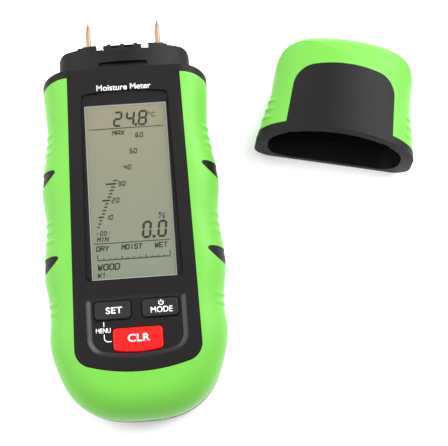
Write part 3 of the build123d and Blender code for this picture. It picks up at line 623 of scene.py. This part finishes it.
# ---------------------------------------------------------------- moulded detail
BEVEL_PROFILE = [(0.0, 0.95), (0.35, 0.62), (0.75, 0.36), (1.2, 0.16), (1.7, 0.02)]
BEVEL_STEPS = 180
BEVEL_SINK = 0.02
KEYPAD_MIDDLE = (0.0, -35.0)
WALL_HEIGHT = 0.5  # above the keypad floor, where the wall of the recess is found
SHARP_ANGLE = 40
GRIP_EDGE = 12.6  # height of the front grip's lower edge
RIB_CENTRE_X = 18.0
RIB_REACH = 40.0
RIB_HALF = 1.25
RIB_PROUD = 0.42
RIB_SINK = 0.04
RIB_ROOT = 0.35
RIB_STEPS = 8
RIB_FADE = 1.15  # a rib has sunk away again at 1 over this share of its way round
RIB_HIGH = 62.0
BODY_RIB_LOW = 3.0  # the ribs start this far above the grip's edge, so every ray meets the grip
BODY_RIBS = [33.5, 30.2, 27.0, 2.0, -1.2, -4.4, -26.0, -29.0]
CAP_RIB_LOW = -8.0
CAP_RIBS = [7.5, 10.8, 14.1]
CAP_MOUTH = (72.9, 23.75)
CAP_TURN = -12.4


def meet(node, start, direction):
    """Point and normal where a ray first meets a CAD node; the script stops if it misses."""
    found, place, normal, _ = frame["nodes"][node].ray_cast(start * MM, direction)
    if not found:
        raise ValueError(f"a ray from {tuple(start)} misses {node}")
    return place / MM, normal


def skin(shape, rows, closed=False):
    """Join rows of points that each run right round, and give back the loops they make."""
    loops = [[shape.verts.new(point) for point in row] for row in rows]
    following = loops[1:] + loops[:1] if closed else loops[1:]
    for first, second in zip(loops, following):
        for index in range(len(first)):
            after = (index + 1) % len(first)
            shape.faces.new([first[index], first[after], second[after], second[index]])
    return loops


def smooth(piece):
    """Shade a piece smoothly, with its real corners kept sharp."""
    for face in piece.data.polygons:
        face.use_smooth = True
    piece.data.set_sharp_from_angle(angle=radians(SHARP_ANGLE))


def keypad_bevel():
    """Sloping wall of the keypad recess, which dishes into its floor."""
    middle = Vector((*KEYPAD_MIDDLE, KEYPAD_FLOOR + WALL_HEIGHT))
    wall = []
    for step in range(BEVEL_STEPS):
        angle = 2 * pi * step / BEVEL_STEPS
        wall.append(meet("front_case", middle, Vector((cos(angle), sin(angle), 0))))
    widest = BEVEL_PROFILE[-1][0]
    rows = []
    for inset, tall in [*BEVEL_PROFILE, (widest, -BEVEL_SINK), (0.0, -BEVEL_SINK)]:
        rows.append([(p.x + n.x * inset, p.y + n.y * inset, KEYPAD_FLOOR + tall) for p, n in wall])
    shape = bmesh.new()
    skin(shape, rows, closed=True)
    bmesh.ops.recalc_face_normals(shape, faces=shape.faces)
    smooth(finished("keypad_bevel", shape, "meter_body", "sheen_tinted_dish_plastic"))


def grip_rib(shape, node, centre, axis_turn, side, low_angle):
    """Add one low finger rib that wraps round the side of a grip."""
    turn = Matrix.Rotation(radians(axis_turn), 3, "Z")
    rows = []
    for along_step in range(RIB_STEPS + 1):
        along = 2 * along_step / RIB_STEPS - 1
        start = Vector(centre) + turn @ Vector((0, along * RIB_HALF, 0))
        top, root = [], []
        for angle_step in range(2 * RIB_STEPS + 1):
            share = angle_step / (2 * RIB_STEPS)
            angle = radians(low_angle + (RIB_HIGH - low_angle) * share)
            outwards = turn @ Vector((side * cos(angle), 0, sin(angle)))
            place, normal = meet(node, start + outwards * RIB_REACH, -outwards)
            if (place - start).dot(outwards) < 0:
                raise ValueError(f"a finger rib at {tuple(centre)} runs past the edge of {node}")
            swell = cos(along * pi / 2) ** 2 * sin(pi * min(share * RIB_FADE, 1.0)) ** 0.5
            top.append(place + normal * (RIB_PROUD * swell - RIB_SINK))
            root.append(place - normal * RIB_ROOT)
        rows.append(top + root[::-1])
    loops = skin(shape, rows)
    shape.faces.new(loops[0])
    shape.faces.new(loops[-1][::-1])


def finger_ribs():
    """Low ribs in the waists of the grips, where the fingers close round them."""
    shape = bmesh.new()
    for side in (-1, 1):
        for y in BODY_RIBS:
            centre = (side * RIB_CENTRE_X, y, GRIP_EDGE)
            grip_rib(shape, "front_grip", centre, 0.0, side, BODY_RIB_LOW)
    smooth(finished("body_finger_ribs", shape, "meter_body", "grip_rubber"))
    shape = bmesh.new()
    turn = Matrix.Rotation(radians(CAP_TURN), 3, "Z")
    for side in (-1, 1):
        for depth in CAP_RIBS:
            centre = Vector((*CAP_MOUTH, GRIP_EDGE)) + turn @ Vector((side * RIB_CENTRE_X, depth, 0))
            grip_rib(shape, "cap_grip", centre, CAP_TURN, side, CAP_RIB_LOW)
    smooth(finished("cap_finger_ribs", shape, "cap_body", "grip_rubber"))


make_camera()
make_studio()
paint_nodes()
display_figures()
display_words()
display_scale()
display_edge_highlight()
key_labels()
menu_label()
panel_lettering()
keypad_bevel()
finger_ribs()
